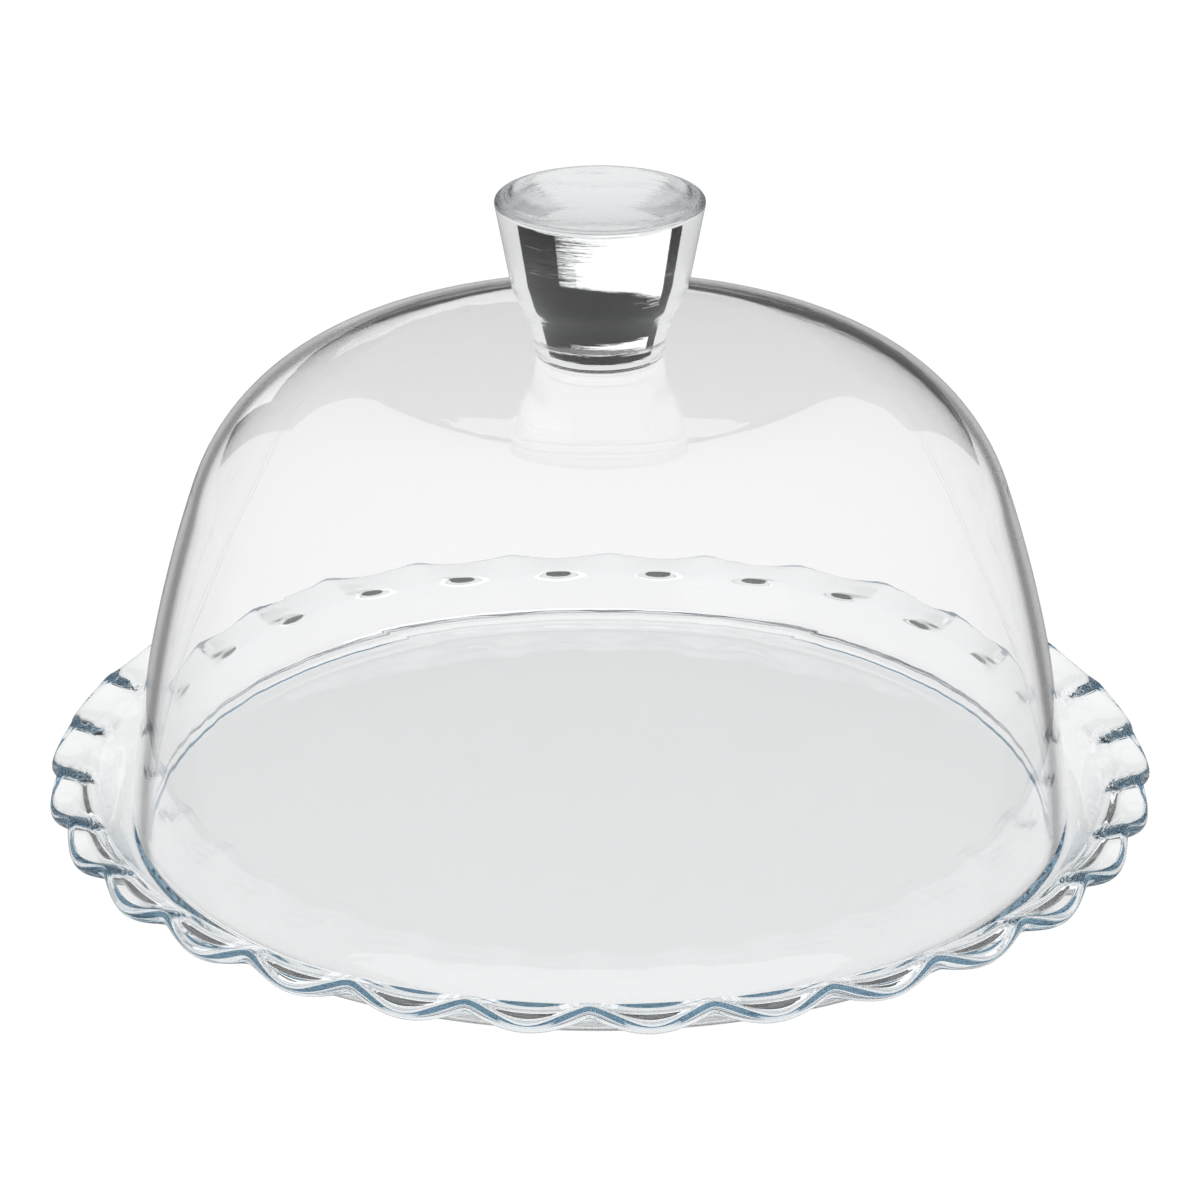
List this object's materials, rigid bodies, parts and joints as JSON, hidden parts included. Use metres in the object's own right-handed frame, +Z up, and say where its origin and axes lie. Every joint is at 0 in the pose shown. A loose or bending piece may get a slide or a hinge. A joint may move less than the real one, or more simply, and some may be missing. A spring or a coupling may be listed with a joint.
{
  "type": "glass cake dome on a serving plate",
  "caption": "Clear glass cake dome with a solid dished knob, lifting off a clear glass serving plate with a petalled rim.",
  "frame": {"origin": "on the common axis, at the plane that the plate's foot ring stands on", "axes": "+Z up along the common axis of plate, dome and knob; -Y through the middle of one petal of the rim"},
  "size_m": [0.3204, 0.322, 0.1914],
  "materials": {
    "plate_glass": "clear pressed soda-lime glass, fire-polished, faint blue-grey tint at the thick rim",
    "dome_glass": "clear smooth glass, even wall, fire-polished foot",
    "knob_glass": "clear solid pressed glass with faint pressing lines",
    "bond": "clear cured bond layer"
  },
  "bodies": {
    "plate": {"serving_plate": "plate_glass"},
    "lid": {"dome": "dome_glass", "knob_bond": "bond", "knob": "knob_glass"}
  },
  "joints": [
    {"name": "dome_lift", "type": "slide", "parent": "plate", "child": "lid", "axis": [0, 0, 1], "range_m": [0, 0.2]}
  ]
}
